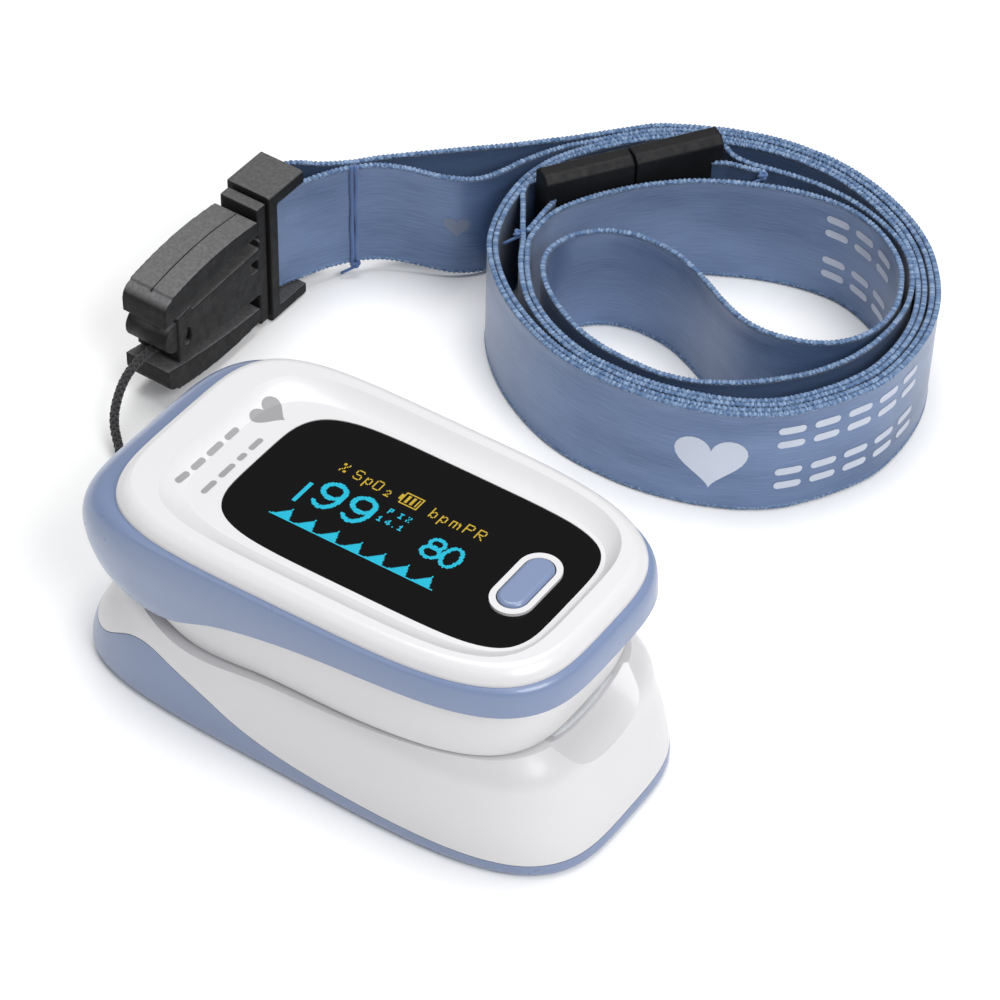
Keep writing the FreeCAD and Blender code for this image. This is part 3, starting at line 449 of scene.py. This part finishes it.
def floor():
    """Plain pale floor, a hair below the object, with a barely uneven surface."""
    span, steps, drop = 3000, 12, 0.1
    vertices = [(-span + 2 * span * i / steps, -span + 2 * span * j / steps, -drop)
                for i in range(steps + 1) for j in range(steps + 1)]
    row = steps + 1
    faces = [(i * row + j, (i + 1) * row + j, (i + 1) * row + j + 1, i * row + j + 1)
             for i in range(steps) for j in range(steps)]
    mesh = bpy.data.meshes.new("floor")
    mesh.from_pydata([Vector(v) * MM for v in vertices], [], faces)
    mesh.materials.append(plastic("floor_paper", srgb(250, 250, 250), 0.7, grain=300, tint=0.005).material)
    obj = bpy.data.objects.new("floor", mesh)
    bpy.context.scene.collection.objects.link(obj)


# ---- string ----
def string_line():
    """Points along the string's own NURBS line."""
    curve = bpy.data.curves.new("string_line", "CURVE")
    curve.dimensions = "3D"
    spline = curve.splines.new("NURBS")
    spline.points.add(len(STRING_ROUTE) - 1)
    for point, place in zip(spline.points, STRING_ROUTE):
        point.co = (*(Vector(place) * MM), 1)
    spline.order_u = 3
    spline.use_endpoint_u = True
    spline.resolution_u = 24
    obj = bpy.data.objects.new("string_line", curve)
    bpy.context.scene.collection.objects.link(obj)
    bpy.context.view_layer.update()
    mesh = bpy.data.meshes.new_from_object(obj.evaluated_get(bpy.context.evaluated_depsgraph_get()))
    points = [v.co / MM for v in mesh.vertices]
    bpy.data.objects.remove(obj)
    bpy.data.meshes.remove(mesh)
    return points


def braided_string():
    """Eight strands plaited round the string's line, over a solid core."""
    line, length = through(string_line() + [Vector(STRING_END)], 0.1)
    core = tube_rings(line, STRING_D * CORE_SHARE, 10)
    parts = [skin(core)]
    frames = tube_rings(line, 1.0, 4)
    for k in range(STRANDS):
        way = 1 if k % 2 else -1
        start = 2 * math.pi * (k // 2) / (STRANDS / 2)
        path = []
        for i, p in enumerate(line):
            s = i * length / (len(line) - 1)
            angle = start + way * 2 * math.pi * s / PLAIT_PITCH
            over = math.cos(angle * 4 + (math.pi if way > 0 else 0))
            radius = STRING_D * PLAIT_SHARE + STRAND_SWAY * over
            side, other = frames[i][0] - p, frames[i][1] - p
            path.append(p + side * radius * math.cos(angle) + other * radius * math.sin(angle))
        parts.append(skin(tube_rings(path, STRAND_R, 6)))
    obj = piece("lanyard_cord", *joined(parts), "string", "lower_half", "string_black")
    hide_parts("lanyard_string")


# ---- ribbon ----
def sideways(points, distance):
    """Plan points moved to the left of their direction of travel."""
    moved = []
    for i, p in enumerate(points):
        a, b = Vector(points[max(i - 1, 0)]), Vector(points[min(i + 1, len(points) - 1)])
        along = (b - a).normalized()
        moved.append((p[0] - distance * along.y, p[1] + distance * along.x))
    return moved


def ribbon_route():
    """The whole ribbon in plan, from its end at the plug to its end at the socket."""
    half = LAYER_PITCH / 2
    inner = FRONT_STRAND + sideways(OUTER_TURN, -half) + sideways(INNER_TURN, -half) + END_LOOP + PLUG_LOOP
    outer = BACK_STRAND + sideways(OUTER_TURN, half) + sideways(INNER_TURN, half) + SOCKET_LOOP
    x, y = BAR
    round_bar = [(x + 1.5, y + 0.5), (x + 0.95, y - 0.95), (x, y - 1.32), (x - 0.95, y - 0.95),
                 (x - 1.5, y + 0.5)]
    return list(reversed(inner)) + round_bar + outer


def ribbon_section(s, wave):
    """Closed outline across the ribbon as (across, off the middle): flat faces, knitted round edges."""
    w = RIBBON_W / 2
    faces = [-7.3, -5.6, -3.0, 0.0, 3.0, 5.6, 7.3]
    section = [(v, HALF_FACE) for v in faces]
    for sign, shift in ((1, 0.0), (-1, 0.37)):
        loop = abs(math.sin(math.pi * (s / LOOP_PITCH + shift)))
        reach = w - 0.3 + 0.28 * loop + wave
        edge = [(w - 0.38, HALF_EDGE), (reach - 0.08, HALF_EDGE * 0.75), (reach, 0.0),
                (reach - 0.08, -HALF_EDGE * 0.75), (w - 0.38, -HALF_EDGE)]
        if sign > 0:
            section += edge + [(v, -HALF_FACE) for v in reversed(faces)]
        else:
            section += [(-v, -t) for v, t in edge]
    return section


def ribbon_point(line, i, v, off):
    """A point on the ribbon: i along its line, v up from its middle, and off to its left."""
    k = min(int(i), len(line) - 2)
    p = line[k].lerp(line[k + 1], i - k)
    along = (line[min(k + 1, len(line) - 1)] - line[max(k - 1, 0)]).normalized()
    ripple = 0.05 * noise.noise(Vector((i * RIBBON_STEP * 0.12, 3, 0)))
    off += ripple * math.cos(v / RIBBON_W * math.pi)
    height = max(strand_lift(p) + RIBBON_W / 2 + v, 0.02)
    return Vector((p.x - along.y * off, p.y + along.x * off, height))


def neck_ribbon():
    """The whole satin ribbon as one strip standing on its edge."""
    line, length = through(ribbon_route(), RIBBON_STEP)
    rings, uvs = [], []
    for i in range(len(line)):
        s = i * length / (len(line) - 1)
        wave = 0.06 * noise.noise(Vector((s * 0.35, 0, 0)))
        section = ribbon_section(s, wave)
        rings.append([ribbon_point(line, i, v, off) for v, off in section])
        uvs += [(s * MM, v * MM) for v, off in section]
    vertices, faces = skin(rings)
    obj = piece("neck_ribbon", vertices, faces, "ribbon", "strap", "ribbon_blue", uvs=uvs)
    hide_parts("ribbon_back_strand", "ribbon_front_strand", "ribbon_outer_turn", "ribbon_inner_turn",
                "ribbon_end_loop", "ribbon_clasp_tail")
    return line


def strand_lift(p):
    """Height of the ribbon's lower edge. Only the two strands near the buckle are lifted."""
    share = min(max((LIFT_START - p.x) / LIFT_RUN, 0), 1)
    return STRAP_LIFT * share * share * (3 - 2 * share)


def beside(line, near, outer):
    """Place along the ribbon nearest to a plan point, on its outer or its inner strand."""
    def nearest(place, span):
        return min(span, key=lambda i: (line[i] - Vector(place)).length)
    turn = nearest(BAR, range(len(line)))
    return nearest(near, range(turn, len(line)) if outer else range(turn))


def pills(columns, pitch, rows):
    """Outlines of plain round-ended bars in columns, standing for lines of print."""
    return [[(k * pitch + x, v + y) for x, y in bar(0, 0, 3.4, 1.1)] for k in range(columns) for v in rows]


def ribbon_prints(line):
    """Generic white hearts and bars, printed on the faces that look outwards."""
    rows, pitch, heart_to_bars = (4.9, 2.7, -1.7, -3.9), 4.5, 9.4
    moved = [[(x + heart_to_bars, y) for x, y in outline] for outline in pills(5, pitch, rows)]
    prints = {
        "ribbon_print_front": (beside(line, (12.0, 47.0), True), -1, "print", [heart(4.4)] + moved),
        "ribbon_print_back": (beside(line, (5.0, 88.0), False), -1, "print", pills(3, pitch, rows)),
        "ribbon_print_strand": (beside(line, (-36.6, 63.7), False), 1, "faint", [heart(1.7)]),
    }
    for name, (start, way, look, outlines) in prints.items():
        def place(x, y, start=start, way=way):
            return ribbon_point(line, start + way * x / RIBBON_STEP, y, HALF_FACE + PRINT_GAP)
        printed(name, outlines, place, look, "strap", "ribbon_blue", cell=0.9)


def sewn_threads(line):
    """Thread: two seams that hold the strands together at the buckle, and tied ends at the clasp."""
    parts = []
    seam = beside(line, (-47.6, 56.3), False)
    for shift, bend in ((-2.2, 0.35), (0.4, -0.2)):
        path = [ribbon_point(line, seam + shift + bend * math.sin(v * 0.9), v, HALF_FACE + 0.2)
                for v in [RIBBON_W * (k / 24 - 0.5) * 1.03 for k in range(25)]]
        parts.append(skin(tube_rings(path, SEAM_R, 8)))
    low = ribbon_point(line, seam - 1.2, -RIBBON_W / 2 + 0.2, HALF_FACE + 0.35)
    parts.append(knot(low, 0.55))
    for near, outer, height in (((-24.2, 60.6), True, 7.3), ((-6.4, 88.3), False, 7.4)):
        parts.append(knot(ribbon_point(line, beside(line, near, outer), height, HALF_FACE + 0.3), 0.5))
    piece("sewn_threads", *joined(parts), "thread", "strap", "ribbon_blue")


def knot(middle, size):
    """A small knot with one loose end, as one wound tube."""
    path = []
    for k in range(49):
        a = 2 * math.pi * k / 48 * 2
        r = size * (0.75 + 0.25 * math.cos(1.5 * a))
        path.append(middle + Vector((r * math.cos(a), r * math.sin(a), size * 0.5 * math.sin(1.5 * a))))
    tail = [path[-1] + Vector((-0.35, -0.3, -0.25)) * k for k in range(1, 6)]
    return skin(tube_rings(path + tail, 0.2, 7))


# ---- moulded pieces ----
FINE_VOXEL, PAD_VOXEL = 0.16, 0.3       # mesh cells of the hard and of the soft pieces
BUCKLE_Z = 10                           # height of the buckle's middle line, which runs along Y
ACROSS, NEAR_SIDE = (-58, -49), (-51.4, -49)   # x places of cuts right through it, and into one side
BARREL_X, BARREL_Y, BARREL_Z, BARREL_R = (-56.4, -50.2), 24.1, 10.7, 2.15
RECESS_Y = 24.2                         # back wall of the recess that the string goes into
NOSE_Y, NOSE_RISE, NOSE_R = 23.6, 5.4, 1.7     # rounding of each lever's end
LEVER_TOP = [(23.2, 7.32), (27, 8.02), (31, 8.4), (35.6, 8.42), (39.9, 8.03)]  # y, height above middle


def prism(outline, x):
    """Closed solid from a side outline of (y, z) points, between two x places."""
    return skin([[Vector((x[0], y, z)) for y, z in outline], [Vector((x[1], y, z)) for y, z in outline]])


def rounded(y, z, ry, rz=None, count=24):
    """Side outline of a circle, or of an ellipse with its own height."""
    turns = [2 * math.pi * k / count for k in range(count)]
    return [(y + ry * math.cos(a), z + (rz or ry) * math.sin(a)) for a in turns]


def draft(name, mesh):
    """A working object, removed again before the scene is finished."""
    obj = bpy.data.objects.new(name, mesh)
    bpy.context.scene.collection.objects.link(obj)
    return obj


def cutter(solid):
    """A working object from a solid, with its faces turned outwards."""
    vertices, faces = solid
    mesh = bpy.data.meshes.new("tool")
    mesh.from_pydata([v * MM + CENTRE for v in vertices], [], faces)
    sides = bmesh.new()
    sides.from_mesh(mesh)
    bmesh.ops.recalc_face_normals(sides, faces=sides.faces[:])
    sides.to_mesh(mesh)
    sides.free()
    return draft("tool", mesh)


def moulded(node, name, look, body, slot, voxel, cuts=()):
    """The CAD node's shape with rolled edges, after solids are cut from it."""
    shape = draft(name + "_draft", nodes[node].data.copy())
    tools = [cutter(solid) for solid in cuts]
    for tool in tools:
        step = shape.modifiers.new("step", "BOOLEAN")
        step.operation, step.object, step.solver = "DIFFERENCE", tool, "EXACT"
    remesh = shape.modifiers.new("remesh", "REMESH")
    remesh.mode, remesh.voxel_size = "VOXEL", voxel * MM
    smooth = shape.modifiers.new("smooth", "SMOOTH")
    smooth.factor, smooth.iterations = 0.5, 3
    bpy.context.view_layer.update()
    mesh = bpy.data.meshes.new_from_object(shape.evaluated_get(bpy.context.evaluated_depsgraph_get()))
    vertices = [(v.co - CENTRE) / MM for v in mesh.vertices]
    faces = [tuple(f.vertices) for f in mesh.polygons]
    for obj in [shape] + tools:
        bpy.data.objects.remove(obj)
    bpy.data.meshes.remove(mesh)
    made = piece(name, vertices, faces, look, body, slot)
    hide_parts(node)
    return made


def finger_pads():
    """The two silicone pads that hold the finger."""
    for side in ("upper", "lower"):
        pad = moulded(side + "_finger_pad", side + "_silicone_pad", "pad", side + "_half", "soft_pad",
                      PAD_VOXEL)


def buckle_body():
    """The plug, with wider side slots, a recess for the string, an oval hole and a barrel at its end."""
    slots = [prism([(27, BUCKLE_Z + k * 3.2), (40.4, BUCKLE_Z + k * 3.7), (40.4, BUCKLE_Z + k * 6),
                    (27, BUCKLE_Z + k * 6)], ACROSS) for k in (1, -1)]
    recess = prism([(21, 5.5), (RECESS_Y, 5.5), (RECESS_Y, 14.5), (21, 14.5)], ACROSS)
    oval = prism(rounded(25.9, 9.7, 0.75, 1.35), NEAR_SIDE)
    moulded("buckle_plug", "buckle_body", "buckle", "lower_half", "buckle_black", FINE_VOXEL,
            cuts=slots + [recess, oval])
    barrel = piece("buckle_barrel", *prism(rounded(BARREL_Y, BARREL_Z, BARREL_R, count=36), BARREL_X),
                   "buckle", "lower_half", "buckle_black")
    barrel.data.polygons.foreach_set("use_smooth", [len(f.vertices) == 4 for f in barrel.data.polygons])


def lever(side, k):
    """A squeeze lever with a rounded end. k is 1 above the middle line and -1 below it."""
    nose = [(NOSE_Y - NOSE_R * math.cos(a), BUCKLE_Z + k * (NOSE_RISE + NOSE_R * math.sin(a)))
            for a in [math.pi / 16 * j for j in range(9)]]
    nose += [(NOSE_Y, BUCKLE_Z + k * 9), (21, BUCKLE_Z + k * 9), (21, BUCKLE_Z + k * NOSE_RISE)]
    moulded("squeeze_lever_" + side, side + "_lever", "lever", "lever_" + side, "buckle_black", FINE_VOXEL,
            cuts=[prism(nose, ACROSS)])


def buckle():
    """The plug, its two levers, the frame, and the parting line along the upper lever."""
    buckle_body()
    lever("upper", 1)
    lever("lower", -1)
    moulded("strap_frame", "buckle_frame", "buckle", "strap", "buckle_black", FINE_VOXEL)
    top, _ = through(LEVER_TOP, 0.4)
    line = [Vector((-53.1, y, BUCKLE_Z + dz - 0.03)) for y, dz in top]
    piece("lever_parting_line", *skin(tube_rings(line, 0.1, 6)), "clasp", "lever_upper", "buckle_black")


def clasp():
    """The two halves of the breakaway clasp."""
    for half in ("socket", "plug"):
        moulded("clasp_" + half, half + "_half_clasp", "clasp", "strap", "buckle_black", FINE_VOXEL)


# ---- display ----
PIXEL = 0.172                           # distance between the panel's pixels
LIT_HALF, LIT_GAP = 0.46, 0.012         # half width of a lit pixel, over PIXEL, and height above the window
SCREEN_LEFT, SCREEN_LOW = -12.5, -6.45
GLYPHS = {
    "%": ["##..#", "##..#", "...#.", "..#..", "..#..", ".#...", "#..##", "#..##"],
    "S": [".####.", "#....#", "#.....", "#.....", ".####.", ".....#", ".....#", "#....#", ".####."],
    "p": ["#.##.", "##..#", "#...#", "#...#", "##..#", "#.##.", "#....", "#....", "#...."],
    "O": [".####.", "#....#", "#....#", "#....#", "#....#", "#....#", "#....#", "#....#", ".####."],
    "2": [".##.", "#..#", "...#", "..#.", ".#..", "####"],
    "b": ["#....", "#....", "#....", "#.##.", "##..#", "#...#", "#...#", "##..#", "#.##."],
    "m": ["####.#.", "#..#.##", "#..#..#", "#..#..#", "#..#..#", "#..#..#"],
    "P": ["#####.", "#....#", "#....#", "#....#", "#####.", "#.....", "#.....", "#.....", "#....."],
    "R": ["#####.", "#....#", "#....#", "#....#", "#####.", "#.#...", "#..#..", "#...#.", "#....#"],
    "I": ["###", ".#.", ".#.", ".#.", "###"],
    "1": [".#.", "##.", ".#.", ".#.", "###"],
    "4": ["..#.", ".##.", "#.#.", "####", "..#."],
    ".": ["#"],
    "i": ["#.#", "..#", ".#.", "#..", "#.#"],
    "q": ["###", "#.#", "###", "#..", "#.."],
}


def stamp(pixels, rows, column, base):
    """Set the pixels of a glyph whose bottom left corner is at a column and row."""
    for i, row in enumerate(rows):
        for j, mark in enumerate(row):
            if mark == "#":
                pixels.add((column + j, base + len(rows) - 1 - i))


def ellipse_ring(pixels, centre, reach, width, keep=lambda x, y: True):
    """Set the pixels of an upright elliptical ring, where keep allows it."""
    for x in range(int(centre[0] - reach[0]) - 1, int(centre[0] + reach[0]) + 2):
        for y in range(int(centre[1] - reach[1]) - 1, int(centre[1] + reach[1]) + 2):
            dx, dy = x - centre[0], y - centre[1]
            outside = (dx / reach[0]) ** 2 + (dy / reach[1]) ** 2 > 1
            inside = (dx / (reach[0] - width)) ** 2 + (dy / (reach[1] - width)) ** 2 < 1
            if not outside and not inside and keep(dx, dy):
                pixels.add((x, y))


def nine(pixels, x, y):
    """A numeral nine 18 pixels wide and 26 high, centred on a pixel."""
    ellipse_ring(pixels, (x, y + 5), (9.4, 8.2), 3.4)
    ellipse_ring(pixels, (x - 1.6, y), (11.0, 13.2), 3.4, lambda dx, dy: dx > 1 and dy < 4)
    ellipse_ring(pixels, (x - 1.0, y - 4.6), (8.6, 8.6), 3.2, lambda dx, dy: dy < -2.5)


def display_pixels():
    """Lit pixels of the two colours, counted from the lower left corner of the panel."""
    cyan, yellow = set(), set()
    for glyph, column, base in (("%", 13, 57), ("S", 24, 56), ("p", 33, 53), ("O", 40, 55), ("2", 50, 54),
                                ("b", 85, 54), ("p", 93, 51), ("m", 101, 54), ("P", 111, 54), ("R", 120, 54)):
        stamp(yellow, GLYPHS[glyph], column, base)
    for x in range(62, 76):
        for y in range(54, 65):
            if x in (62, 75) or y in (54, 64) or (x in (65, 66, 69, 70, 73) and 56 <= y <= 62):
                yellow.add((x, y))
    for y in range(57, 62):
        yellow.add((61, y))
        yellow.add((60, y))
    for y in range(18, 38):
        cyan.update({(5, y), (6, y), (7, y)})
    nine(cyan, 23, 34)
    nine(cyan, 46, 34)
    for glyph, column, base in (("q", 62, 42), ("I", 70, 42), ("i", 76, 42), ("1", 60, 33), ("4", 66, 33),
                                (".", 72, 33), ("1", 76, 33)):
        stamp(cyan, GLYPHS[glyph], column, base)
    ellipse_ring(cyan, (105, 36), (6.4, 5.4), 2.6)
    ellipse_ring(cyan, (105, 28), (7.4, 6.2), 2.8)
    ellipse_ring(cyan, (119, 31), (7.2, 10.0), 2.8)
    for x in range(0, 126):
        cyan.add((x, 1))
    for k in range(7):
        foot = 2 + 18 * k
        for x in range(13):
            height = round(1 + 8.5 * (x / 9) ** 1.5) if x <= 9 else round(9 - 2.2 * (x - 9))
            for y in range(max(height, 0)):
                cyan.add((foot + x, 2 + y))
    return {"cyan": cyan, "yellow": yellow}


def lit_display():
    """The lit pixels, as small squares just above the window."""
    for look, pixels in display_pixels().items():
        vertices, faces = [], []
        half = PIXEL * LIT_HALF
        for column, row in sorted(pixels):
            x, y = SCREEN_LEFT + (column + 0.5) * PIXEL, SCREEN_LOW + (row + 0.5) * PIXEL
            start = len(vertices)
            vertices += [UPPER.to_3x3() @ Vector((x + dx, y + dy, WINDOW_TOP + LIT_GAP))
                         + UPPER.translation / MM
                         for dx, dy in ((-half, -half), (half, -half), (half, half), (-half, half))]
            faces.append(tuple(range(start, start + 4)))
        piece("display_" + look, vertices, faces, look, "upper_half", "oled_panel", smooth=False)


# ---- generic printed mark ----
COVER_PRINT_GAP = 0.015                 # the print stands this far off the cover


def heart(size, count=40):
    """Outline of a heart about its middle, point down along -y."""
    points = []
    for i in range(count):
        a = 2 * math.pi * i / count
        points.append((size * math.sin(a) ** 3, size * (0.8 * math.cos(a) - 0.32 * math.cos(2 * a)
                                                        - 0.13 * math.cos(3 * a) - 0.06 * math.cos(4 * a))))
    return points


def bar(x, y, width, height):
    """Outline of a bar with round ends."""
    r = height / 2
    points = []
    for side in (1, -1):
        for k in range(9):
            a = -math.pi / 2 + math.pi * k / 8
            points.append((x + side * (width / 2 - r + r * math.cos(a)), y + side * r * math.sin(a)))
    return points


def printed(name, outlines, place, look, body, slot, cell=0.35):
    """Thin printed areas: filled outlines, finely divided, with each point put on the surface by place."""
    grid = bmesh.new()
    for outline in outlines:
        edge = [grid.verts.new((x, y, 0)) for x, y in outline]
        grid.faces.new(edge)
    bmesh.ops.triangulate(grid, faces=grid.faces[:])
    for axis in ((1, 0, 0), (0, 1, 0)):
        reach = [v.co.dot(Vector(axis)) for v in grid.verts]
        for k in range(int(min(reach) / cell), int(max(reach) / cell) + 1):
            bmesh.ops.bisect_plane(grid, geom=grid.verts[:] + grid.edges[:] + grid.faces[:],
                                   plane_co=Vector(axis) * k * cell, plane_no=axis)
    bmesh.ops.remove_doubles(grid, verts=grid.verts[:], dist=1e-4)
    grid.verts.ensure_lookup_table()
    vertices = [place(v.co.x, v.co.y) for v in grid.verts]
    grid.verts.index_update()
    faces = [[v.index for v in f.verts] for f in grid.faces]
    grid.free()
    piece(name, vertices, faces, look, body, slot, smooth=False)


def cover_print():
    """Silver heart and two rows of plain bars on the rim behind the display."""
    tree = BVHTree.FromObject(nodes["top_cover"], bpy.context.evaluated_depsgraph_get())

    def place(x, y):
        hit = tree.ray_cast(Vector((x, y, 60)) * MM + CENTRE, Vector((0, 0, -1)))[0]
        return (hit - CENTRE) / MM + Vector((0, 0, COVER_PRINT_GAP))

    shapes = [[(-22.3 - v, 6.6 + u) for u, v in heart(2.2)]]
    for row, parts in ((-23.5, ((-7.4, 2.2), (-4.6, 2.2), (-1.6, 2.6), (1.4, 2.2))),
                       (-20.3, ((-6.8, 2.4), (-3.6, 2.6), (-0.9, 1.4), (1.6, 2.2)))):
        for y, width in parts:
            shapes.append([(row + v, y + u) for u, v in bar(0, 0, width, 0.75)])
    printed("cover_print", shapes, place, "silver", "upper_half", "white_shell")


def main():
    """Camera, light and floor, then the pieces from the string to the printed mark."""
    camera()
    studio()
    floor()
    dress_nodes()
    braided_string()
    line = neck_ribbon()
    ribbon_prints(line)
    sewn_threads(line)
    finger_pads()
    buckle()
    clasp()
    lit_display()
    cover_print()


main()
